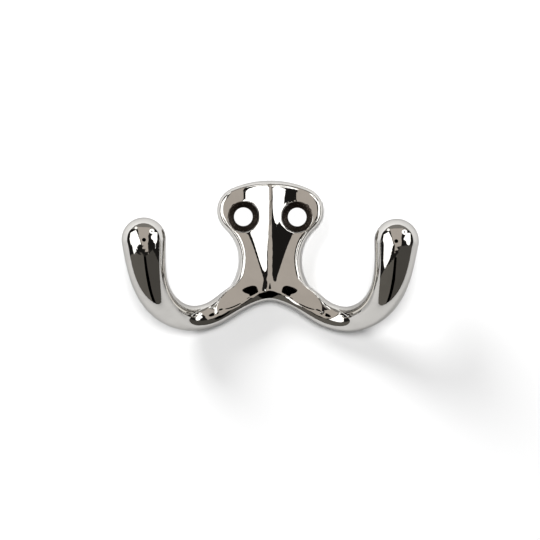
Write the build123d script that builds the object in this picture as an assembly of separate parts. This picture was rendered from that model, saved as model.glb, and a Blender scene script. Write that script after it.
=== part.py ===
from build123d import *
import math
import os

# Double robe hook, cast in one piece. Millimetres.
# +X is to the right, +Y goes into the wall, +Z is up.
# The origin lies on the back face, midway between the two screw holes.

# Plate outline, as seen from the room
PLATE_TOP = 9.5
LOBE_X = 7.45
LOBE_Z = 1.6
LOBE_R = 6.5
WAIST_HALF = 8.4
WAIST_Z = -11.0
THROAT_R = 11.5
ROOT_PART = 0.48
PLATE_DRAFT = 7.0
RIM_R = 0.7
PLATE_BLANK = 11.0
RIDGE_R = 0.7

# Screw holes
HOLE_SPACING = 13.8
HOLE_D = 4.8
CSK_D = 8.0
CSK_ANGLE = 90.0
CSK_FACE = 4.2

# Front face: depths from the wall at five distances from the middle.
# Each row is height, slope beside the ridge in degrees, ridge depth,
# then the depth at the inner flank, outer flank, far flank and edge.
FLANK_INNER_X = 4.7
FLANK_OUTER_X = 10.5
FLANK_FAR_X = 16.5
FACE_EDGE_X = 23.0
FACE_ROWS = [
    (13.0, 27.0, 5.3, 3.3, 2.9, 2.9, 2.9),
    (6.0, 28.0, 5.8, 3.8, 3.2, 3.2, 3.3),
    (0.0, 26.0, 6.15, 4.35, 3.8, 3.85, 4.4),
    (-6.0, 23.0, 6.6, 5.2, 4.8, 5.1, 6.5),
    (-13.0, 17.0, 7.4, 6.5, 6.3, 6.6, 9.0),
    (-19.5, 9.0, 8.1, 7.7, 7.5, 7.7, 13.0),
    (-28.0, 2.0, 8.7, 8.6, 8.5, 9.5, 18.0),
]

# Hook bar: it runs from one tip across the middle to the other tip.
# Each row is a station of the right half: middle of the section, as
# distance to the right, depth from the wall and height above the bar's
# middle, then half of its depth and half of its height.
BAR_Z = -18.0
BAR_STATIONS = [
    (0.0, 1.2, 0.0, 7.1, 3.5),
    (8.8, 1.5, -3.1, 6.8, 3.5),
    (14.0, 2.6, -6.6, 5.3, 3.25),
    (19.1, 5.0, -8.0, 3.6, 3.2),
    (23.9, 9.2, -6.9, 3.6, 3.5),
    (27.5, 14.3, -3.9, 3.95, 3.95),
    (30.3, 20.0, 2.2, 4.6, 4.6),
]
TIP_X = 31.5
TIP_DEPTH = 22.7
TIP_RISE = 11.8
TIP_R = 5.6
TIP_FLARE = 4.0
TIP_LEAN = 2.0
TIP_STEP = 0.02
BAR_SECTIONS = 14
PLATE_TUCK = 1.2

# Room in front of the wall that the whole hook lies in
REACH = 2 * (TIP_X + TIP_R)


def unit(dx, dz):
    """One unit along a direction in the picture plane."""
    long = math.hypot(dx, dz)
    return dx / long, dz / long


def plate_outline():
    """Half outline of tangent arcs, mirrored to a closed face."""
    drop = PLATE_TOP - LOBE_Z
    crown_r = (LOBE_X**2 + drop**2 - LOBE_R**2) / (2 * (drop - LOBE_R))
    ux, uz = unit(LOBE_X, LOBE_Z - (PLATE_TOP - crown_r))
    crown_end = (LOBE_X + LOBE_R * ux, LOBE_Z + LOBE_R * uz)
    step = WAIST_HALF - LOBE_X
    fall = LOBE_Z - WAIST_Z
    waist_r = (step**2 + fall**2 - LOBE_R**2) / (2 * (LOBE_R - step))
    ux, uz = unit(WAIST_HALF + waist_r - LOBE_X, -fall)
    lobe_end = (LOBE_X + LOBE_R * ux, LOBE_Z + LOBE_R * uz)
    root_x = WAIST_HALF + ROOT_PART * THROAT_R
    reach = (1 - ROOT_PART) * THROAT_R
    throat_end = (root_x, WAIST_Z - math.sqrt(THROAT_R**2 - reach**2))
    crown = TangentArc((0, PLATE_TOP), crown_end, tangent=(1, 0))
    lobe = TangentArc(crown_end, lobe_end, tangent=crown % 1)
    waist = TangentArc(lobe_end, (WAIST_HALF, WAIST_Z), tangent=lobe % 1)
    throat = TangentArc((WAIST_HALF, WAIST_Z), throat_end, tangent=(0, -1))
    first, second, third = BAR_STATIONS[0], BAR_STATIONS[1], BAR_STATIONS[2]
    foot = BAR_Z - PLATE_TUCK
    inner = Polyline(
        throat_end,
        (root_x, foot + third[2]),
        (second[0], foot + second[2]),
        (first[0], foot + first[2]),
        (0, PLATE_TOP),
    )
    half = make_face(crown + lobe + waist + throat + inner)
    return half + mirror(half, about=Plane.YZ)


def face_section(row):
    """One level of the space in front of the plate."""
    z, slope, ridge, near, mid, far, edge = row
    lean = math.radians(slope)
    crest_x = RIDGE_R * math.sin(lean)
    crest = ridge - RIDGE_R * (1 - math.cos(lean))
    right = Spline(
        (crest_x, -crest),
        (FLANK_INNER_X, -near),
        (FLANK_OUTER_X, -mid),
        (FLANK_FAR_X, -far),
        (FACE_EDGE_X, -edge),
        tangents=[
            (math.cos(lean), math.sin(lean)),
            (FACE_EDGE_X - FLANK_FAR_X, far - edge),
        ],
    )
    top = ThreePointArc((crest_x, -crest), (0, -ridge), (-crest_x, -crest))
    left = mirror(right, about=Plane.YZ)
    front = Polyline(
        (FACE_EDGE_X, -edge),
        (FACE_EDGE_X, -REACH),
        (-FACE_EDGE_X, -REACH),
        (-FACE_EDGE_X, -edge),
    )
    return Pos(0, 0, z) * make_face(right + top + left + front)


def bar_path():
    """Middle line of the right half of the bar, out to the tip."""
    lean = math.radians(TIP_LEAN)
    points = [(x, -depth, BAR_Z + rise) for x, depth, rise, _, _ in BAR_STATIONS]
    points.append((TIP_X, -TIP_DEPTH, BAR_Z + TIP_RISE))
    ends = [(1, 0, 0), (0.05, -math.sin(lean), math.cos(lean))]
    return Spline(points, tangents=ends), points


def smooth_size(at, marks, sizes, end_slope):
    """A size read between its stations, level at the middle of the bar."""
    slopes = [0.0]
    for i in range(1, len(marks) - 1):
        before = (sizes[i] - sizes[i - 1]) / (marks[i] - marks[i - 1])
        after = (sizes[i + 1] - sizes[i]) / (marks[i + 1] - marks[i])
        slopes.append((before + after) / 2)
    slopes.append(end_slope)
    i = 0
    while i < len(marks) - 2 and at > marks[i + 1]:
        i += 1
    span = marks[i + 1] - marks[i]
    t = (at - marks[i]) / span
    low = (1 + 2 * t) * (1 - t) ** 2 * sizes[i] + t * t * (3 - 2 * t) * sizes[i + 1]
    return low + span * t * (1 - t) * ((1 - t) * slopes[i] - t * slopes[i + 1])


def oval(origin, along, half_depth, half_height):
    """An oval square to the bar, its seam turned to the wall."""
    across = Vector(0, 1, 0) - along * along.Y
    plane = Plane(origin=origin, x_dir=across, z_dir=along)
    return plane * Ellipse(half_depth, half_height)


def half_bar():
    """The right arm, from the middle of the hook to its rounded tip."""
    path, points = bar_path()
    flare = math.radians(TIP_FLARE)
    tip = Vector(points[-1])
    tip_way = path % 1
    mouth_r = TIP_R * math.cos(flare) - TIP_STEP
    end = 1 - TIP_R * math.sin(flare) / path.length
    marks = [path.param_at_point(p) for p in points[:-1]] + [end]
    deep = [row[3] for row in BAR_STATIONS] + [mouth_r]
    high = [row[4] for row in BAR_STATIONS] + [mouth_r]
    rise = path.length * math.tan(flare)
    ovals = []
    for k in range(-2, BAR_SECTIONS + 1):
        at = abs(k) * end / BAR_SECTIONS
        spot = path @ at
        way = path % at
        if k < 0:
            spot = Vector(-spot.X, spot.Y, spot.Z)
            way = Vector(way.X, -way.Y, -way.Z)
        half_height = smooth_size(at, marks, high, rise)
        half_depth = max(smooth_size(at, marks, deep, rise), half_height)
        ovals.append(oval(spot, way, half_depth, half_height))
    right_side = Pos(REACH / 2, 0, 0) * Box(REACH, 2 * REACH, 2 * REACH)
    arm = loft(ovals) & right_side
    seat = Plane(origin=tip, x_dir=Vector(0, 1, 0) - tip_way * tip_way.Y, z_dir=tip_way)
    return arm + seat * Sphere(TIP_R)


def hook_bar():
    """Both arms, joined at the middle."""
    arm = half_bar()
    return arm + mirror(arm, about=Plane.YZ)


def screw_hole(x):
    """Through hole with a countersink opening to the room."""
    slope = math.tan(math.radians(CSK_ANGLE / 2))
    sink = (CSK_D - HOLE_D) / 2 / slope
    shank = Plane.XZ * Pos(x, 0, -1) * Cylinder(
        HOLE_D / 2, PLATE_BLANK, align=(Align.CENTER, Align.CENTER, Align.MIN)
    )
    grow = PLATE_BLANK - CSK_FACE
    cone = Plane.XZ * Pos(x, 0, CSK_FACE - sink) * Cone(
        HOLE_D / 2,
        HOLE_D / 2 + (sink + grow) * slope,
        sink + grow,
        align=(Align.CENTER, Align.CENTER, Align.MIN),
    )
    return shank + cone


def rim_edges(plate):
    """The long edges between the plate's front and its side walls."""
    rim = []
    thin = FACE_ROWS[0][-1]
    for edge in plate.edges():
        spot = edge @ 0.5
        along = edge % 0.5
        in_front = -spot.Y > 0.8 * thin
        above_bar = spot.Z > BAR_Z - RIM_R
        if in_front and above_bar and edge.length > LOBE_R / 2 and abs(along.Y) < 0.5:
            rim.append(edge)
    return rim


def build():
    """The whole casting."""
    front = loft([face_section(row) for row in FACE_ROWS[::-1]])
    plate = extrude(Plane.XZ * plate_outline(), PLATE_BLANK, taper=PLATE_DRAFT)
    plate = plate - front
    plate = fillet(rim_edges(plate), RIM_R)
    room = Pos(0, -REACH / 2, 0) * Box(2 * REACH, REACH, 2 * REACH)
    bar = (hook_bar() & room) - front
    body = plate + bar
    for side in (-1, 1):
        body = body - screw_hole(side * HOLE_SPACING / 2)
    return body


if __name__ == "__main__":
    os.makedirs("parts", exist_ok=True)
    hook = build()
    print("volume", round(hook.volume), "solids", len(hook.solids()))
    print("box", hook.bounding_box())
    export_step(hook, "parts/double_hook.step")
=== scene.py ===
"""A polished double robe hook on a white wall, in metres.

+X is to the right, +Y goes into the wall and +Z is up. The origin lies on the
back face, midway between the two screw holes.
"""

import bisect
import logging
import math
from dataclasses import dataclass
from enum import Enum
from typing import Callable, Sequence

import bmesh
import bpy
from mathutils import Matrix, Vector
from mathutils.kdtree import KDTree

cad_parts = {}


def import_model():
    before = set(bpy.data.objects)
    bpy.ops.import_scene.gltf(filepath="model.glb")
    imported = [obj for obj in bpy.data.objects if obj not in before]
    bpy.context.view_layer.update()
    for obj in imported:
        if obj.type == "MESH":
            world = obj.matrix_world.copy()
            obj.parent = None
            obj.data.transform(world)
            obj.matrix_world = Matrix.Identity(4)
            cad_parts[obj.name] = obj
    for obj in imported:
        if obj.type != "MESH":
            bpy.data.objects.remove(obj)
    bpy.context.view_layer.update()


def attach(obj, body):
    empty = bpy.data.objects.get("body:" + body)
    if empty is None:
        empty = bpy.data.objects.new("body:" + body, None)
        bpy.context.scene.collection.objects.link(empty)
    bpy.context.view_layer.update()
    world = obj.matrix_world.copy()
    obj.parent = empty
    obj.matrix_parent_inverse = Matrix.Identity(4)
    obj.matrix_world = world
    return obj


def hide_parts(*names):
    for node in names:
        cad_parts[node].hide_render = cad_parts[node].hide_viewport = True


LOG = logging.getLogger("robe_hook")
MM = 0.001
PIECE = "double_hook"

Colour = tuple[float, float, float, float]
Outline = tuple[tuple[float, float], ...]
Place = tuple[Vector, float, float]


def share_of(value: float, none: float, full: float) -> float:
    """Finds how far a value lies between two marks.

    Args:
        value: the value.
        none: where the share is 0.
        full: where the share is 1.

    Returns:
        The share, held between 0 and 1.
    """
    return min(max((value - none) / (full - none), 0.0), 1.0)


def ease(share: float) -> float:
    """Makes a share start and end gently.

    Args:
        share: a value from 0 to 1.

    Returns:
        The eased share.
    """
    return share * share * (3.0 - 2.0 * share)


class Join(Enum):
    """How one solid works on another."""

    ADD = "UNION"
    CUT = "DIFFERENCE"
    KEEP = "INTERSECT"


class SmoothLine:
    """A natural cubic curve through values at increasing marks."""

    def __init__(self, marks: Sequence[float], values: Sequence[float]) -> None:
        """Solves the curve.

        Args:
            marks: where the values are, in increasing order.
            values: the value at each mark.
        """
        self.marks = list(marks)
        self.values = list(values)
        count = len(self.marks)
        gaps = [b - a for a, b in zip(self.marks, self.marks[1:])]
        steps = zip(self.values, self.values[1:], gaps)
        rises = [(b - a) / gap for a, b, gap in steps]
        upper = [0.0] * count
        pull = [0.0] * count
        for i in range(1, count - 1):
            base = 2 * (gaps[i - 1] + gaps[i]) - gaps[i - 1] * upper[i - 1]
            upper[i] = gaps[i] / base
            load = 6 * (rises[i] - rises[i - 1])
            pull[i] = (load - gaps[i - 1] * pull[i - 1]) / base
        self.bend = [0.0] * count
        for i in range(count - 2, 0, -1):
            self.bend[i] = pull[i] - upper[i] * self.bend[i + 1]

    def at(self, mark: float) -> float:
        """Reads the curve.

        Args:
            mark: where to read it.

        Returns:
            The value there, held level outside the first and last marks.
        """
        mark = min(max(mark, self.marks[0]), self.marks[-1])
        i = bisect.bisect_right(self.marks, mark) - 1
        i = min(max(i, 0), len(self.marks) - 2)
        gap = self.marks[i + 1] - self.marks[i]
        b = (mark - self.marks[i]) / gap
        a = 1 - b
        bent = (a**3 - a) * self.bend[i] + (b**3 - b) * self.bend[i + 1]
        return a * self.values[i] + b * self.values[i + 1] + bent * gap * gap / 6


@dataclass(frozen=True)
class PlateSize:
    """The plate's outline, in millimetres.

    The line that closes its foot follows the bar's middle line, foot_drop below
    it. It reads the stations within foot_reach of the centre.
    """

    top: float = 9.7
    lobe_x: float = 7.45
    lobe_z: float = 1.6
    lobe_r: float = 6.5
    waist_half: float = 8.4
    waist_z: float = -11.0
    throat_r: float = 11.5
    root_x: float = 14.0
    foot_x: tuple[float, ...] = (4.0, 8.8)
    foot_drop: float = 1.0
    foot_reach: float = 19.0
    draft: float = 7.0
    blank: float = 12.0
    behind: float = 2.0
    fine: float = 0.35
    rim_fine: float = 0.06
    arc_points: int = 6


@dataclass(frozen=True)
class FrontSize:
    """Depths of the front face, at heights down the plate, in millimetres.

    Each row is a height, then the depth at every distance in across.
    """

    across: tuple[float, ...] = (0.0, 1.0, 2.5, 4.5, 7.0, 10.0, 14.0, 18.0, 23.0)
    rows: tuple[tuple[float, ...], ...] = (
        (13.0, 5.52, 5.05, 4.37, 3.67, 3.10, 2.88, 2.85, 2.85, 2.9),
        (8.0, 5.87, 5.40, 4.72, 4.02, 3.45, 3.19, 3.15, 3.15, 3.2),
        (-4.0, 6.50, 6.20, 5.72, 5.18, 4.70, 4.49, 4.45, 4.90, 5.9),
        (-8.5, 6.88, 6.65, 6.22, 5.77, 5.49, 5.43, 5.45, 5.90, 7.3),
        (-13.0, 7.42, 7.19, 6.84, 6.57, 6.48, 6.42, 6.40, 6.90, 9.0),
        (-15.0, 7.67, 7.455, 7.15, 6.97, 6.89, 6.81, 6.70, 7.30, 10.0),
        (-17.0, 7.91, 7.72, 7.45, 7.33, 7.20, 7.08, 6.98, 7.62, 11.3),
        (-18.5, 7.98, 7.80, 7.55, 7.43, 7.34, 7.25, 7.14, 7.80, 12.3),
        (-20.0, 8.03, 7.85, 7.60, 7.50, 7.48, 7.42, 7.32, 8.05, 13.3),
        (-23.0, 8.30, 8.20, 8.10, 8.05, 8.02, 7.85, 7.60, 8.60, 15.0),
        (-28.0, 8.70, 8.68, 8.66, 8.60, 8.55, 8.55, 8.80, 10.5, 18.0),
    )
    crest_top: float = 0.45
    crest_foot: float = 0.12
    crest_span: tuple[float, float] = (9.0, -17.0)
    crest_share: float = 0.5
    rim_r: float = 1.75
    rim_fade: tuple[float, float] = (-15.0, -19.0)


@dataclass(frozen=True)
class SpaceSize:
    """The slab behind the front face, in millimetres.

    Its columns crowd to the middle by a power. Past the face's last distance
    its near side runs steeply away from the wall.
    """

    half_wide: float = 45.0
    half_high: float = 24.0
    middle_z: float = -7.5
    columns: int = 440
    rows: int = 270
    crowd: float = 1.25
    steep: float = 12.0
    deepest: float = 45.0
    row_keys: int = 10000


@dataclass(frozen=True)
class BarStation:
    """One section of the bar: its middle, half depth and half height."""

    x: float
    depth: float
    z: float
    half_depth: float
    half_height: float


@dataclass(frozen=True)
class BarSize:
    """The bar from the middle of the hook to its right tip, in millimetres.

    Within blunt_x of the middle its section is blunter than an oval, and its
    lower front leans back.
    """

    stations: tuple[BarStation, ...] = (
        BarStation(0.0, 1.2, -18.0, 7.15, 3.5),
        BarStation(3.6, 1.2, -18.63, 6.80, 3.5),
        BarStation(8.8, 1.5, -21.1, 6.65, 3.5),
        BarStation(14.0, 2.6, -24.6, 5.3, 3.25),
        BarStation(19.1, 5.0, -26.0, 3.6, 3.2),
        BarStation(23.9, 9.2, -24.9, 3.6, 3.5),
        BarStation(27.5, 14.3, -21.9, 3.95, 3.95),
        BarStation(30.3, 20.0, -15.8, 4.6, 4.6),
        BarStation(31.5, 22.7, -6.2, 5.6, 5.6),
    )
    cap_long: float = 5.6
    cap_rings: int = 14
    cap_turn: float = 88.0
    blunt: float = 6.0
    lean: float = 0.26
    blunt_x: float = 19.0
    rings: int = 150
    sides: int = 72


@dataclass(frozen=True)
class HoleSize:
    """The two countersunk screw holes, in millimetres."""

    spacing: float = 13.8
    bore: float = 4.8
    sink: float = 8.0
    angle: float = 90.0
    face: float = 4.0
    clear: float = 5.0
    steps: int = 96
    merge: float = 0.001


@dataclass(frozen=True)
class SkinSize:
    """How finely the polished skin is drawn, in millimetres.

    The rim is polished where it stands rim_off or more from the wall and above
    rim_foot: fully near the outline, and less up to one and a half rims away.
    """

    voxel: float = 0.26
    passes: int = 4
    rim: float = 1.1
    rim_full: float = 0.5
    rim_off: float = 1.8
    rim_foot: float = -20.5
    rim_passes: int = 14
    pull: float = 0.5


class Front:
    """The face that cuts the plate and the top of the bar."""

    def __init__(self, size: FrontSize) -> None:
        """Prepares the curves down the plate.

        Args:
            size: the depths.
        """
        self.size = size
        heights = [row[0] for row in size.rows][::-1]
        self.down = [
            SmoothLine(heights, [row[k + 1] for row in size.rows][::-1])
            for k in range(len(size.across))
        ]

    def row(self, z: float) -> SmoothLine:
        """Reads the section across the plate at one height.

        Args:
            z: the height.

        Returns:
            The depth against the distance from the middle.
        """
        depths = [line.at(z) for line in self.down]
        return SmoothLine(self.size.across, depths)

    def depth(self, section: SmoothLine, x: float, z: float) -> float:
        """Reads the depth, with the ridge rounded.

        Args:
            section: the section at this height.
            x: the distance to the right.
            z: the height.

        Returns:
            The depth from the wall.
        """
        size = self.size
        top, foot = size.crest_span
        share = share_of(z, foot, top)
        crest = size.crest_foot + share * (size.crest_top - size.crest_foot)
        return section.at(math.sqrt(x * x + crest * crest) - crest * size.crest_share)

    def rim_drop(self, inside: float, z: float) -> float:
        """Finds how far the rounded rim falls below the face.

        Args:
            inside: the distance inside the outline, in millimetres.
            z: the height.

        Returns:
            The drop.
        """
        full, none = self.size.rim_fade
        radius = self.size.rim_r * ease(share_of(z, none, full))
        reach = min(max(radius - inside, 0.0), radius)
        return radius - math.sqrt(radius * radius - reach * reach)


class Casting:
    """The whole hook, cast as one piece and polished."""

    def __init__(self) -> None:
        """Takes the sizes of every feature."""
        self.plate = PlateSize()
        self.front = Front(FrontSize())
        self.space = SpaceSize()
        self.bar = BarSize()
        self.holes = HoleSize()
        self.skin = SkinSize()

    @staticmethod
    def bearing(way: Vector) -> float:
        """Finds which way a line runs.

        Args:
            way: the line, in the X, Z plane.

        Returns:
            Its angle from the right, in radians.
        """
        return math.atan2(way.y, way.x)

    @staticmethod
    def arc(middle: Vector, radius: float, span: tuple[float, float], count: int) -> list[Vector]:
        """Draws an arc without its last point.

        Args:
            middle: its centre.
            radius: its radius.
            span: its first and last angle, in radians.
            count: how many points.

        Returns:
            The points.
        """
        start, end = span
        turns = [start + (end - start) * i / count for i in range(count)]
        return [middle + radius * Vector((math.cos(t), math.sin(t))) for t in turns]

    def outline(self, fine: float, foot: bool = True) -> list[Vector]:
        """Draws the plate's outline as tangent arcs.

        Args:
            fine: the distance between points, in millimetres.
            foot: whether the line under the bar closes it.

        Returns:
            Points in the X, Z plane, anticlockwise from the right root.
        """
        p = self.plate
        drop = p.top - p.lobe_z
        crown_r = (p.lobe_x**2 + drop**2 - p.lobe_r**2) / (2 * (drop - p.lobe_r))
        step = p.waist_half - p.lobe_x
        fall = p.lobe_z - p.waist_z
        waist_r = (step**2 + fall**2 - p.lobe_r**2) / (2 * (p.lobe_r - step))
        crown = Vector((0.0, p.top - crown_r))
        lobe = Vector((p.lobe_x, p.lobe_z))
        waist = Vector((p.waist_half + waist_r, p.waist_z))
        throat = Vector((p.waist_half + p.throat_r, p.waist_z))

        inward = p.root_x - throat.x
        root = self.bearing(Vector((inward, -math.sqrt(p.throat_r**2 - inward**2))))
        seam = self.bearing(waist - lobe)
        top = self.bearing(lobe - crown)
        points = []
        for middle, radius, start, end in (
            (throat, p.throat_r, root + 2 * math.pi, math.pi),
            (waist, waist_r, math.pi, seam + math.pi),
            (lobe, p.lobe_r, seam, top),
            (crown, crown_r, top, math.pi / 2),
        ):
            count = max(p.arc_points, int(abs(end - start) * radius / fine))
            points += self.arc(middle, radius, (start, end), count)
        left = [Vector((-q.x, q.y)) for q in reversed(points)]
        line = points + [Vector((0.0, p.top))] + left
        if not foot:
            return line
        right = [*p.foot_x, p.root_x]
        across = [-x for x in reversed(right)] + [0.0] + right
        return line + [Vector((x, self.station_z(abs(x)) - p.foot_drop)) for x in across]

    def inside_reader(self) -> Callable[[float, float, float], float]:
        """Prepares the distance inside the outline.

        Returns:
            A function from a point and its depth to that distance.
        """
        line = self.outline(self.plate.rim_fine, False)
        tree = KDTree(len(line))
        for i, q in enumerate(line):
            tree.insert((q.x, q.y, 0.0), i)
        tree.balance()
        lean = math.tan(math.radians(self.plate.draft))

        def read(x: float, z: float, depth: float) -> float:
            """Finds how far a point lies inside the drafted outline.

            Args:
                x: the distance to the right, in millimetres.
                z: the height.
                depth: the depth from the wall.

            Returns:
                The distance, less than zero outside.
            """
            spot, i, away = tree.find((x, z, 0.0))
            along = line[min(i + 1, len(line) - 1)] - line[max(i - 1, 0)]
            side = along.x * (z - spot.y) - along.y * (x - spot.x)
            return math.copysign(away, side) - lean * depth

        return read

    def station_z(self, x: float) -> float:
        """Finds how high the bar's middle is at a distance from the centre.

        Args:
            x: the distance, in millimetres.

        Returns:
            The height.
        """
        near = [s for s in self.bar.stations if s.x <= self.plate.foot_reach]
        return SmoothLine([s.x for s in near], [s.z for s in near]).at(x)

    def plate_blank(self) -> bpy.types.Object:
        """Extrudes the outline with its draft.

        Returns:
            The solid plate, before its front is cut.
        """
        p = self.plate
        behind = p.behind * MM
        bm = bmesh.new()
        outline = self.outline(p.fine)
        bm.faces.new([bm.verts.new((q.x * MM, behind, q.y * MM)) for q in outline])
        made = bmesh.ops.extrude_face_region(bm, geom=bm.faces[:])
        front = [v for v in made["geom"] if isinstance(v, bmesh.types.BMVert)]
        bmesh.ops.translate(bm, verts=front, vec=(0, -(p.blank * MM + behind), 0))
        face = next(f for f in made["geom"] if isinstance(f, bmesh.types.BMFace))
        lean = math.tan(math.radians(p.draft))
        bmesh.ops.recalc_face_normals(bm, faces=bm.faces[:])
        shift = {}
        for v in front:
            out = Vector((0, 0, 0))
            for wall in v.link_faces:
                if wall is not face:
                    out += Vector((wall.normal.x, 0, wall.normal.z)).normalized()
            shift[v] = out.normalized() * -(lean * p.blank * MM)
        for v, move in shift.items():
            v.co += move
        return self.to_object(bm, "plate_blank")

    def bar_line(self) -> list[Place]:
        """Samples the bar's middle line and section from tip to tip.

        Returns:
            Points with the half depth and half height there.
        """
        half = self.bar.stations
        full = [
            BarStation(-s.x, s.depth, s.z, s.half_depth, s.half_height)
            for s in half[:0:-1]
        ] + list(half)
        run = [0.0]
        for a, b in zip(full, full[1:]):
            run.append(run[-1] + math.dist((a.x, a.depth, a.z), (b.x, b.depth, b.z)))
        lines = [
            SmoothLine(run, [getattr(s, name) for s in full])
            for name in ("x", "depth", "z", "half_depth", "half_height")
        ]
        samples = []
        for i in range(self.bar.rings + 1):
            at = run[-1] * i / self.bar.rings
            x, depth, z, deep, high = (line.at(at) for line in lines)
            samples.append((Vector((x, -depth, z)), deep, high))
        return samples

    def section_point(self, unit: Vector, x: float) -> tuple[float, float]:
        """Bends a point of the unit circle to the bar's section.

        Args:
            unit: the point, its first value along the depth.
            x: the distance from the middle, in millimetres.

        Returns:
            The shares of the half depth and the half height.
        """
        near = ease(max(0.0, 1.0 - abs(x) / self.bar.blunt_x))
        power = 2.0 / (2.0 + self.bar.blunt * near)
        deep = math.copysign(abs(unit.x) ** power, unit.x)
        high = math.copysign(abs(unit.y) ** power, unit.y)
        return deep + self.bar.lean * near * near * max(0.0, -high) * (deep < 0), high

    def cap(self, end: Place, out: Vector) -> list[Place]:
        """Rounds off one end of the bar.

        Args:
            end: the last place on the bar.
            out: the way out of the bar.

        Returns:
            Places from the end outwards.
        """
        spot, deep, high = end
        places = []
        for k in range(1, self.bar.cap_rings + 1):
            turn = math.radians(self.bar.cap_turn * k / self.bar.cap_rings)
            tip = spot + out * self.bar.cap_long * math.sin(turn)
            places.append((tip, deep * math.cos(turn), high * math.cos(turn)))
        return places

    @staticmethod
    def next_ring(bm: bmesh.types.BMesh, ring: list[bmesh.types.BMVert]) -> list[bmesh.types.BMVert]:
        """Extrudes the open end of the bar.

        Args:
            bm: the working mesh.
            ring: the points of the open end.

        Returns:
            The points of the new end, in the same order.
        """
        edges = {e for v in ring for e in v.link_edges if all(w in ring for w in e.verts)}
        grown = bmesh.ops.extrude_edge_only(bm, edges=list(edges))
        order = {}
        for v in (g for g in grown["geom"] if isinstance(g, bmesh.types.BMVert)):
            for e in v.link_edges:
                other = e.other_vert(v)
                if other in ring:
                    order[ring.index(other)] = v
        return [order[k] for k in range(len(ring))]

    def hook_bar(self) -> bpy.types.Object:
        """Sweeps ovals along the bar and closes both ends with long caps.

        Returns:
            The bar as a closed solid.
        """
        line = self.bar_line()
        bm = bmesh.new()
        made = bmesh.ops.create_circle(bm, cap_ends=False, segments=self.bar.sides, radius=1.0)
        shape = [v.co.copy() for v in made["verts"]]
        ring = list(made["verts"])
        start_way = (line[0][0] - line[1][0]).normalized()
        end_way = (line[-1][0] - line[-2][0]).normalized()
        places = [(s, -start_way, d, h) for s, d, h in reversed(self.cap(line[0], start_way))]
        for i, (spot, deep, high) in enumerate(line):
            before = line[max(i - 1, 0)][0]
            after = line[min(i + 1, len(line) - 1)][0]
            places.append((spot, (after - before).normalized(), deep, high))
        places += [(s, end_way, d, h) for s, d, h in self.cap(line[-1], end_way)]
        for i, (spot, way, deep, high) in enumerate(places):
            if i:
                ring = self.next_ring(bm, ring)
            across = (Vector((0, 1, 0)) - way * way.y).normalized()
            upright = way.cross(across)
            for unit, v in zip(shape, ring):
                x, y = self.section_point(unit, spot.x)
                v.co = (spot + across * x * deep + upright * y * high) * MM
            if i in (0, len(places) - 1):
                bm.faces.new(ring)
        bmesh.ops.recalc_face_normals(bm, faces=bm.faces[:])
        return self.to_object(bm, "hook_bar")

    def front_space(self) -> bpy.types.Object:
        """Makes the solid behind the front face, back to the wall.

        Returns:
            A slab whose near side is the front face.
        """
        s = self.space
        bm = bmesh.new()
        bmesh.ops.create_grid(bm, x_segments=s.columns, y_segments=s.rows, size=1.0)
        inside = self.inside_reader()
        sections: dict[int, SmoothLine] = {}
        edge = self.front.size.across[-1]
        for v in bm.verts:
            x = (abs(v.co.x) ** s.crowd) * math.copysign(1.0, v.co.x) * s.half_wide
            z = v.co.y * s.half_high + s.middle_z
            key = round(v.co.y * s.row_keys)
            if key not in sections:
                sections[key] = self.front.row(z)
            depth = self.front.depth(sections[key], x, z)
            if z > self.front.size.rim_fade[1]:
                depth -= self.front.rim_drop(inside(x, z, depth), z)
            depth += max(0.0, abs(x) - edge) * s.steep
            v.co = Vector((x, -min(depth, s.deepest), z)) * MM
        bmesh.ops.recalc_face_normals(bm, faces=bm.faces[:])
        made = bmesh.ops.extrude_face_region(bm, geom=bm.faces[:])
        for v in (g for g in made["geom"] if isinstance(g, bmesh.types.BMVert)):
            v.co.y = 0.0
        bmesh.ops.recalc_face_normals(bm, faces=bm.faces[:])
        return self.to_object(bm, "front_space")

    def hole_cutter(self) -> bpy.types.Object:
        """Makes both through holes with their countersinks.

        Returns:
            The cutting solid.
        """
        h = self.holes
        sink = (h.sink - h.bore) / 2 / math.tan(math.radians(h.angle / 2))
        profile = (
            (0.0, -h.clear),
            (h.bore / 2, -h.clear),
            (h.bore / 2, h.face - sink),
            (h.sink / 2, h.face),
            (h.sink / 2, h.face + h.clear),
            (0.0, h.face + h.clear),
        )
        bm = bmesh.new()
        for side in (-1, 1):
            axis_x = side * h.spacing / 2 * MM
            ring = [bm.verts.new((axis_x + r * MM, -d * MM, 0.0)) for r, d in profile]
            edges = [bm.edges.new(pair) for pair in zip(ring, ring[1:])]
            bmesh.ops.spin(
                bm,
                geom=ring + edges,
                cent=(axis_x, 0.0, 0.0),
                axis=(0.0, 1.0, 0.0),
                angle=2 * math.pi,
                steps=h.steps,
                use_merge=True,
            )
        bmesh.ops.remove_doubles(bm, verts=bm.verts[:], dist=h.merge * MM)
        bmesh.ops.recalc_face_normals(bm, faces=bm.faces[:])
        return self.to_object(bm, "hole_cutter")

    @staticmethod
    def to_object(bm: bmesh.types.BMesh, name: str) -> bpy.types.Object:
        """Turns a working mesh into an object at the origin.

        Args:
            bm: the mesh, which is freed.
            name: the object's name.

        Returns:
            The object.
        """
        mesh = bpy.data.meshes.new(name)
        bm.to_mesh(mesh)
        bm.free()
        obj = bpy.data.objects.new(name, mesh)
        bpy.context.scene.collection.objects.link(obj)
        return obj

    @staticmethod
    def combine(obj: bpy.types.Object, other: bpy.types.Object, how: Join) -> None:
        """Adds, cuts or keeps the common part of two solids.

        Args:
            obj: the solid that changes.
            other: the tool.
            how: which of these.
        """
        step = obj.modifiers.new(how.name, "BOOLEAN")
        step.operation = how.value
        step.solver = "MANIFOLD"
        step.object = other

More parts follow.
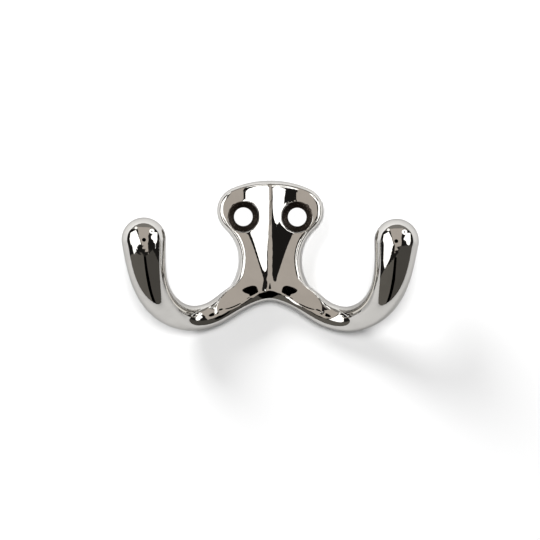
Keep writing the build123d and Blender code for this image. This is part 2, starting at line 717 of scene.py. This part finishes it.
    @staticmethod
    def settle(obj: bpy.types.Object) -> None:
        """Writes an object's modifiers into its mesh.

        Args:
            obj: the object.
        """
        graph = bpy.context.evaluated_depsgraph_get()
        mesh = bpy.data.meshes.new_from_object(obj.evaluated_get(graph))
        old = obj.data
        obj.modifiers.clear()
        obj.data = mesh
        bpy.data.meshes.remove(old)

    def mark_rim(self, hook: bpy.types.Object) -> None:
        """Weights the front edge of the plate, which gets extra polish.

        Args:
            hook: the casting.
        """
        s = self.skin
        outline = self.outline(self.plate.fine)
        tree = KDTree(len(outline))
        for i, q in enumerate(outline):
            tree.insert((q.x * MM, 0.0, q.y * MM), i)
        tree.balance()
        group = hook.vertex_groups.new(name="rim")
        for v in hook.data.vertices:
            if v.co.y > -s.rim_off * MM or v.co.z < s.rim_foot * MM:
                continue
            near = tree.find((v.co.x, 0.0, v.co.z))[2] / MM
            weight = 1.0 - max(0.0, near - s.rim_full * s.rim) / s.rim
            if weight > 0.0:
                group.add([v.index], min(1.0, weight), "REPLACE")

    def build(self) -> bpy.types.Object:
        """Joins, cuts and polishes the casting.

        Returns:
            The finished hook.
        """
        hook = self.plate_blank()
        bar = self.hook_bar()
        space = self.front_space()
        cutter = self.hole_cutter()
        self.combine(hook, bar, Join.ADD)
        self.combine(hook, space, Join.KEEP)
        self.settle(hook)
        LOG.info("blank: %d faces", len(hook.data.polygons))
        self.combine(hook, cutter, Join.CUT)
        self.settle(hook)
        LOG.info("holes cut: %d faces", len(hook.data.polygons))
        remesh = hook.modifiers.new("skin", "REMESH")
        remesh.mode = "VOXEL"
        remesh.voxel_size = self.skin.voxel * MM
        remesh.adaptivity = 0.0
        smooth = hook.modifiers.new("polish", "SMOOTH")
        smooth.factor = self.skin.pull
        smooth.iterations = self.skin.passes
        self.settle(hook)
        self.mark_rim(hook)
        turn = hook.modifiers.new("rim", "SMOOTH")
        turn.factor = self.skin.pull
        turn.iterations = self.skin.rim_passes
        turn.vertex_group = "rim"
        self.settle(hook)
        for tool in (bar, space, cutter):
            mesh = tool.data
            bpy.data.objects.remove(tool)
            bpy.data.meshes.remove(mesh)
        hook.name = "polished_hook"
        hook.data.name = "polished_hook"
        hook.data.polygons.foreach_set("use_smooth", [True] * len(hook.data.polygons))
        LOG.info("polished hook: %d faces", len(hook.data.polygons))
        return hook


class Graph:
    """A material's or world's nodes, added by one method."""

    def __init__(self, owner: bpy.types.Material | bpy.types.World) -> None:
        """Clears the owner's nodes.

        Args:
            owner: what the nodes belong to.
        """
        owner.use_nodes = True
        self.tree = owner.node_tree
        self.tree.nodes.clear()

    def add(self, kind: str, settings: dict | None = None, **values) -> bpy.types.Node:
        """Adds a node, then sets it up and links it.

        Args:
            kind: the node's type.
            settings: its properties, set before its sockets.
            values: sockets by name, underscores for spaces: numbers, colours or sockets.

        Returns:
            The node.
        """
        node = self.tree.nodes.new(kind)
        for name, value in (settings or {}).items():
            setattr(node, name, value)
        for name, value in values.items():
            socket = node.inputs[name.replace("_", " ")]
            if isinstance(value, Sum):
                value = value.socket
            if isinstance(value, bpy.types.NodeSocket):
                self.tree.links.new(value, socket)
            else:
                socket.default_value = value
        return node

    def link(self, out: bpy.types.NodeSocket, into: bpy.types.NodeSocket) -> None:
        """Joins two sockets.

        Args:
            out: the source.
            into: the target.
        """
        self.tree.links.new(out, into)

    def blend(self, first: Colour, second: Colour, share: "Sum") -> bpy.types.NodeSocket:
        """Blends two colours.

        Args:
            first: the colour or socket at share 0.
            second: the colour or socket at share 1.
            share: how much of the second.

        Returns:
            The blended colour.
        """
        node = self.add("ShaderNodeMix", {"data_type": "RGBA"}, A=first, B=second, Factor=share)
        return node.outputs["Result"]

    def choose(
        self, first: bpy.types.Node, second: bpy.types.Node, share: "Sum | bpy.types.NodeSocket"
    ) -> bpy.types.Node:
        """Mixes two shaders.

        Args:
            first: the shader at share 0.
            second: the shader at share 1.
            share: how much of the second.

        Returns:
            The mixed shader.
        """
        node = self.add("ShaderNodeMixShader", Fac=share)
        self.link(first.outputs[0], node.inputs[1])
        self.link(second.outputs[0], node.inputs[2])
        return node


class Sum:
    """Shader arithmetic written with ordinary operators."""

    def __init__(self, graph: Graph, socket: bpy.types.NodeSocket) -> None:
        """Wraps a socket.

        Args:
            graph: the nodes it belongs to.
            socket: the value.
        """
        self.graph = graph
        self.socket = socket

    def _do(self, operation: str, *values: "Sum | float") -> "Sum":
        """Adds one arithmetic node.

        Args:
            operation: the node's operation.
            values: what it works on, in order.

        Returns:
            The result.
        """
        node = self.graph.add("ShaderNodeMath", {"operation": operation})
        for slot, value in enumerate(values):
            if isinstance(value, Sum):
                self.graph.link(value.socket, node.inputs[slot])
            else:
                node.inputs[slot].default_value = value
        return Sum(self.graph, node.outputs[0])

    def __add__(self, other: "Sum | float") -> "Sum":
        """Adds.

        Args:
            other: what is added.

        Returns:
            The sum.
        """
        return self._do("ADD", self, other)

    def __sub__(self, other: "Sum | float") -> "Sum":
        """Subtracts.

        Args:
            other: what is taken away.

        Returns:
            The difference.
        """
        return self._do("SUBTRACT", self, other)

    def __rsub__(self, other: float) -> "Sum":
        """Subtracts this value from a number.

        Args:
            other: the number.

        Returns:
            The difference.
        """
        return self._do("SUBTRACT", other, self)

    def __mul__(self, other: "Sum | float") -> "Sum":
        """Multiplies.

        Args:
            other: the factor.

        Returns:
            The product.
        """
        return self._do("MULTIPLY", self, other)

    def __abs__(self) -> "Sum":
        """Drops the sign.

        Returns:
            The value without its sign.
        """
        return self._do("ABSOLUTE", self)

    def root(self) -> "Sum":
        """Takes the square root.

        Returns:
            The root.
        """
        return self._do("SQRT", self)

    def turn(self, other: "Sum") -> "Sum":
        """Finds the bearing of the point (other, self).

        Args:
            other: the point's distance across.

        Returns:
            The bearing, in radians.
        """
        return self._do("ARCTAN2", self, other)

    def ramp(self, low: float, high: float) -> "Sum":
        """Rises smoothly from 0 at low to 1 at high.

        Args:
            low: where it starts.
            high: where it ends.

        Returns:
            The smooth step.
        """
        node = self.graph.add(
            "ShaderNodeMapRange",
            {"interpolation_type": "SMOOTHSTEP"},
            Value=self,
            From_Min=low,
            From_Max=high,
        )
        return Sum(self.graph, node.outputs[0])


@dataclass(frozen=True)
class NickelFinish:
    """Bright nickel plate, in metres, with painted shade in the countersinks and lighter streaks of
    painted sheen there.

    Each ramp is the pair of values between which its effect rises.
    """

    tint: Colour = (0.535, 0.522, 0.50, 1.0)
    # Painted shade for the countersinks, and the lighter streaks of painted sheen in it.
    sink_shade: Colour = (0.046, 0.037, 0.031, 1.0)
    sink_sheen: Colour = (0.24, 0.20, 0.165, 1.0)
    edge: Colour = (0.50, 0.50, 0.50, 1.0)
    roughness: float = 0.025
    sink_roughness: float = 0.42
    hole_x: float = HoleSize.spacing / 2 * MM
    sink_r: float = HoleSize.sink / 2 * MM
    sink_inner: float = 0.00018
    sink_outer: float = 0.00002
    back_ramp: tuple[float, float] = (0.0, 0.0002)
    streak_turn: float = 5.0
    streak_out: float = 900.0
    streak_scale: float = 2.2
    streak_detail: float = 4.0
    streak_roughness: float = 0.6
    streak_ramp: tuple[float, float] = (0.52, 0.78)
    wear_scale: float = 260.0
    wear_detail: float = 3.0
    wear_tone: float = 0.95
    wear_tone_ramp: tuple[float, float] = (0.4, 0.7)
    wear_roughness: float = 0.006
    wear_roughness_ramp: tuple[float, float] = (0.5, 0.8)
    ripple_scale: float = 180.0
    ripple_detail: float = 1.0
    ripple_strength: float = 0.03
    ripple_height: float = 0.0001

    def make(self) -> bpy.types.Material:
        """Builds the material.

        Returns:
            The finish, which reads the hook's own coordinates.
        """
        material = bpy.data.materials.new("bright_nickel")
        g = Graph(material)
        place = g.add("ShaderNodeTexCoord").outputs["Object"]
        split = g.add("ShaderNodeSeparateXYZ", Vector=place)
        x, y, z = (Sum(g, split.outputs[k]) for k in range(3))
        # Painted shade: the countersinks, found by their radius round each hole on the front, are
        # coloured dark.
        away = abs(x) - self.hole_x
        radius = (away * away + z * z).root()
        inside = 1.0 - radius.ramp(self.sink_r - self.sink_inner, self.sink_r + self.sink_outer)
        sink_shade = inside * (y * -1.0).ramp(*self.back_ramp)
        streak_place = g.add(
            "ShaderNodeCombineXYZ",
            X=z.turn(away) * self.streak_turn,
            Y=radius * self.streak_out,
        )
        streak_noise = g.add(
            "ShaderNodeTexNoise",
            Vector=streak_place.outputs[0],
            Scale=self.streak_scale,
            Detail=self.streak_detail,
            Roughness=self.streak_roughness,
        )
        streaks = Sum(g, streak_noise.outputs["Fac"]).ramp(*self.streak_ramp)
        # Lighter streaks of painted sheen break up the painted shade.
        painted_sink = g.blend(self.sink_shade, self.sink_sheen, streaks)
        wear_noise = g.add(
            "ShaderNodeTexNoise",
            Vector=place,
            Scale=self.wear_scale,
            Detail=self.wear_detail,
        )
        wear = Sum(g, wear_noise.outputs["Fac"])
        worn = tuple(c * self.wear_tone for c in self.tint[:3]) + (1.0,)
        plated = g.blend(self.tint, worn, wear.ramp(*self.wear_tone_ramp))
        rough = sink_shade * (self.sink_roughness - self.roughness) + self.roughness
        rough = rough + wear.ramp(*self.wear_roughness_ramp) * self.wear_roughness
        ripple = g.add(
            "ShaderNodeTexNoise",
            Vector=place,
            Scale=self.ripple_scale,
            Detail=self.ripple_detail,
        )
        bump = g.add(
            "ShaderNodeBump",
            Strength=self.ripple_strength,
            Distance=self.ripple_height,
            Height=ripple.outputs["Fac"],
        )
        shader = g.add(
            "ShaderNodeBsdfPrincipled",
            Base_Color=g.blend(plated, painted_sink, sink_shade),
            Metallic=1.0,
            Roughness=rough,
            Specular_Tint=self.edge,
            Normal=bump.outputs["Normal"],
        )
        g.add("ShaderNodeOutputMaterial", Surface=shader.outputs[0])
        return material


def glowing(name: str, colour: tuple[float, float, float], strength: float) -> bpy.types.Material:
    """Makes a material that only glows.

    Args:
        name: its name.
        colour: its colour.
        strength: how brightly it glows.

    Returns:
        The material.
    """
    material = bpy.data.materials.new(name)
    g = Graph(material)
    glow = g.add("ShaderNodeEmission", Color=(*colour, 1.0), Strength=strength)
    g.add("ShaderNodeOutputMaterial", Surface=glow.outputs[0])
    return material


def direction(across: float, up: float, toward: float) -> Vector:
    """Turns a studio direction into the shared frame.

    Args:
        across: to the right.
        up: upwards.
        toward: away from the wall, to the camera.

    Returns:
        The unit direction.
    """
    return Vector((across, -toward, up)).normalized()


@dataclass(frozen=True)
class Card:
    """A studio card, drawn as its outline looks in a mirror ball of radius one.

    A point there stands for the direction in which the ball sends the view.
    The card is seen in reflections only.
    """

    name: str
    corners: Outline
    reach: float
    colour: tuple[float, float, float]
    strength: float = 1.0
    cuts: int = 7

    def make(self, centre: Vector) -> bpy.types.Object:
        """Places the card round the hook.

        Args:
            centre: the middle of the studio.

        Returns:
            The card.
        """
        bm = bmesh.new()
        bm.faces.new([bm.verts.new((x, y, 0.0)) for x, y in self.corners])
        bmesh.ops.triangulate(bm, faces=bm.faces[:])
        bmesh.ops.subdivide_edges(bm, edges=bm.edges[:], cuts=self.cuts, use_grid_fill=True)
        for v in bm.verts:
            x, y = v.co.x, v.co.y
            facing = math.sqrt(max(0.0, 1.0 - x * x - y * y))
            way = direction(2 * x * facing, 2 * y * facing, 2 * facing * facing - 1)
            v.co = centre + way * self.reach
        obj = Casting.to_object(bm, self.name)
        obj.data.materials.append(glowing(self.name, self.colour, self.strength))
        obj.visible_camera = False
        obj.visible_shadow = False
        obj.visible_diffuse = False
        return obj


def disc(x: float, y: float, radius: float, half_turn: int = 12) -> Outline:
    """Draws a round shape in the mirror ball.

    Args:
        x: its middle, across.
        y: its middle, upwards.
        radius: its radius.
        half_turn: the points along half of it.

    Returns:
        The outline.
    """
    turns = [k * math.pi / half_turn for k in range(2 * half_turn)]
    return tuple((x + radius * math.cos(t), y + radius * math.sin(t)) for t in turns)


def rim(start: float, end: float, radius: float = 0.73, count: int = 16) -> Outline:
    """Draws an arc along the edge of the room in the mirror ball.

    Args:
        start: its first angle, in degrees.
        end: its last angle.
        radius: how far out it runs.
        count: how many steps it has.

    Returns:
        The points.
    """
    turns = [math.radians(start + (end - start) * k / count) for k in range(count + 1)]
    return tuple((radius * math.cos(t), radius * math.sin(t)) for t in turns)


@dataclass(frozen=True)
class Lamp:
    """A round lamp that reflections don't show.

    Its way runs across, up and towards the camera, its size is in metres and
    its energy in watts.
    """

    name: str
    way: tuple[float, float, float]
    size: float
    energy: float


@dataclass(frozen=True)
class StudioSize:
    """Places, sizes and strengths in the studio, in metres.

    The wall's paint goes from low below to high behind the plate: painted light
    that thins the plate's own shadow there. Roll is the camera's turn in degrees.
    """

    wall: float = 0.9
    wall_gap: float = 0.0001
    # Painted light: the wall's tone below, and the lighter tone behind the plate that thins its
    # shadow.
    wall_dim_tone: Colour = (0.80, 0.80, 0.80, 1.0)
    wall_lit_tone: Colour = (0.98, 0.98, 0.98, 1.0)
    wall_light_span: tuple[float, float] = (-0.024, -0.002)
    hole_gap: float = 0.00005
    hole_sides: int = 64
    lamp_away: float = 1.2
    white: Colour = (1.0, 1.0, 1.0, 1.0)
    room_light: float = 0.16
    room_dark: Colour = (0.018, 0.017, 0.016, 1.0)
    centre: tuple[float, float, float] = (0.0, -0.01, -0.01)
    pixel: float = 0.2565 * MM
    frame_px: int = 540
    distance: float = 0.80
    middle_z: float = -0.0136
    roll: float = -0.3
    sensor: float = 36.0
    clip: float = 0.01


class Studio:
    """The white wall, the lamps, the cards and the camera."""

    SIZE = StudioSize()
    LAMPS = (
        Lamp("key", (-0.50, 0.66, 0.48), 0.50, 13.6),
        Lamp("fill", (0.0, 0.12, 1.0), 0.40, 11.6),
    )
    UPRIGHT = Matrix.Rotation(math.radians(90), 4, "X")

    WHITE = (1.0, 1.0, 0.99)
    BLACK = (0.0, 0.0, 0.0)
    CARDS = (
        Card(
            "left_softbox",
            (
                (-0.57, 0.285),
                (-0.345, 0.41),
                (-0.224, 0.13),
                (-0.165, -0.03),
                (-0.12, -0.225),
                (-0.30, -0.262),
                (-0.47, -0.275),
                (-0.56, -0.22),
                (-0.61, 0.04),
            ),
            0.90,
            WHITE,
            2.6,
        ),
        Card(
            "right_softbox",
            (
                (0.40, 0.335),
                (0.60, 0.34),
                (0.605, 0.0),
                (0.575, -0.16),
                (0.528, -0.20),
                (0.45, -0.15),
                (0.42, -0.02),
                (0.33, 0.05),
                (0.32, 0.12),
                (0.39, 0.25),
            ),
            0.90,
            WHITE,
            2.6,
        ),
        Card("ring_lamp", disc(0.35, 0.38, 0.11), 0.80, WHITE, 2.6),
        Card("ring_middle", disc(0.35, 0.38, 0.035), 0.75, (0.12, 0.11, 0.10)),
        Card("small_lamp", disc(-0.35, 0.50, 0.06), 0.80, WHITE, 2.0),
        Card("lens", disc(0.0, -0.01, 0.088), 0.50, BLACK, 0.0),
        Card(
            "tripod",
            (
                (-0.05, -0.27),
                (-0.04, -0.45),
                (-0.02, -0.72),
                (0.12, -0.72),
                (0.12, -0.45),
                (0.06, -0.27),
            ),
            0.70,
            BLACK,
            0.0,
        ),
        Card(
            "tan_panel",
            (
                (-0.29, 0.545),
                (-0.197, 0.13),
                (-0.07, -0.255),
                (0.06, -0.255),
                (0.19, -0.25),
                (0.215, -0.02),
                (0.195, 0.13),
                (0.25, 0.34),
                (0.29, 0.545),
            ),
            1.20,
            (0.715, 0.655, 0.595),
        ),
        Card(
            "ceiling",
            rim(38.0, 142.0) + ((-0.40, 0.60), (-0.20, 0.575), (0.20, 0.575), (0.40, 0.60)),
            1.40,
            (0.34, 0.325, 0.305),
        ),
        Card(
            "left_floor",
            rim(202.0, 270.0) + ((0.06, -0.27), (-0.30, -0.28)),
            1.50,
            (0.175, 0.165, 0.148),
        ),
        Card(
            "right_floor",
            rim(270.0, 344.0) + ((0.40, -0.22), (0.06, -0.27)),
            1.50,
            (0.105, 0.099, 0.090),
        ),
    )

    def wall(self) -> bpy.types.Object:
        """Makes the white board behind the hook, with painted light behind the plate.

        Returns:
            The board.
        """
        bm = bmesh.new()
        bmesh.ops.create_grid(bm, x_segments=1, y_segments=1, size=0.5)
        size = self.SIZE
        for v in bm.verts:
            v.co = Vector((v.co.x * size.wall, size.wall_gap, v.co.y * size.wall))
        bmesh.ops.recalc_face_normals(bm, faces=bm.faces[:])
        if bm.faces[:][0].normal.y > 0:
            bmesh.ops.reverse_faces(bm, faces=bm.faces[:])
        obj = Casting.to_object(bm, "white_wall")
        material = bpy.data.materials.new("white_wall")
        g = Graph(material)
        place = g.add("ShaderNodeTexCoord").outputs["Object"]
        high = Sum(g, g.add("ShaderNodeSeparateXYZ", Vector=place).outputs["Z"])
        # Painted light: the paint lightens upwards to behind the plate, thinning the plate's own
        # shadow there.
        paint = g.blend(size.wall_dim_tone, size.wall_lit_tone, high.ramp(*size.wall_light_span))
        matt = g.add("ShaderNodeBsdfDiffuse", Color=paint)
        clear = g.add("ShaderNodeBsdfTransparent")
        back = g.add("ShaderNodeNewGeometry").outputs["Backfacing"]
        board = g.choose(matt, clear, back)
        g.add("ShaderNodeOutputMaterial", Surface=board.outputs[0])
        obj.data.materials.append(material)
        return obj

    def painted_hole_light(self) -> None:
        """Puts a glowing disc behind each screw hole, painted light for the lit wall seen through
        it.
        """
        holes = HoleSize()
        size = self.SIZE
        # Painted light: each disc glows, though it is no lamp.
        material = glowing("painted_wall_glow", size.white[:3], 1.0)
        for side in (-1, 1):
            middle = (side * holes.spacing / 2 * MM, size.hole_gap, 0)
            bm = bmesh.new()
            bmesh.ops.create_circle(
                bm,
                cap_ends=True,
                segments=size.hole_sides,
                radius=holes.bore / 2 * MM,
                matrix=Matrix.Translation(middle) @ self.UPRIGHT,
            )
            obj = Casting.to_object(bm, "painted_wall_glow")
            obj.data.materials.append(material)
            obj.visible_diffuse = False

    def lamps(self) -> None:
        """Lights the wall from the upper left, with a soft fill from the front."""
        for plan in self.LAMPS:
            light = bpy.data.lights.new(plan.name, "AREA")
            light.shape = "DISK"
            light.size = plan.size
            light.energy = plan.energy
            way = direction(*plan.way)
            lamp = bpy.data.objects.new(plan.name, light)
            bpy.context.scene.collection.objects.link(lamp)
            lamp.location = way * self.SIZE.lamp_away
            lamp.rotation_euler = way.to_track_quat("Z", "Y").to_euler()
            lamp.visible_glossy = False

    def world(self) -> None:
        """Sets a white background, and a dim warm room in reflections."""
        size = self.SIZE
        world = bpy.data.worlds.new("room")
        bpy.context.scene.world = world
        g = Graph(world)
        path = g.add("ShaderNodeLightPath")
        plain = g.add("ShaderNodeBackground", Color=size.white, Strength=size.room_light)
        dark = g.add("ShaderNodeBackground", Color=size.room_dark, Strength=1.0)
        white = g.add("ShaderNodeBackground", Color=size.white, Strength=1.0)
        room = g.choose(plain, dark, path.outputs["Is Glossy Ray"])
        seen = g.choose(room, white, path.outputs["Is Camera Ray"])
        g.add("ShaderNodeOutputWorld", Surface=seen.outputs[0])

    def camera(self) -> None:
        """Places the long lens straight in front of the hook."""
        size = self.SIZE
        data = bpy.data.cameras.new("camera")
        data.sensor_width = size.sensor
        data.lens = size.sensor * size.distance / (size.pixel * size.frame_px)
        data.clip_start = size.clip
        obj = bpy.data.objects.new("camera", data)
        bpy.context.scene.collection.objects.link(obj)
        obj.location = Vector((0.0, -size.distance, size.middle_z))
        tilt = Matrix.Rotation(math.radians(size.roll), 4, "Y")
        obj.rotation_euler = (tilt @ self.UPRIGHT).to_euler()
        bpy.context.scene.camera = obj

    def build(self) -> None:
        """Sets up the whole studio."""
        self.wall()
        self.painted_hole_light()
        self.lamps()
        self.world()
        for card in self.CARDS:
            card.make(Vector(self.SIZE.centre))
        self.camera()
        bpy.context.scene.view_settings.view_transform = "Standard"
        LOG.info("studio: %d lamps, %d cards", len(self.LAMPS), len(self.CARDS))


def main() -> None:
    """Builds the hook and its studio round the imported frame."""
    logging.basicConfig(level=logging.INFO)
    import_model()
    hook = Casting().build()
    hook.data.materials.clear()
    hook.data.materials.append(NickelFinish().make())
    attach(hook, "root")
    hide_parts(PIECE)
    Studio().build()
    bpy.context.view_layer.update()


if __name__ == "__main__":
    main()
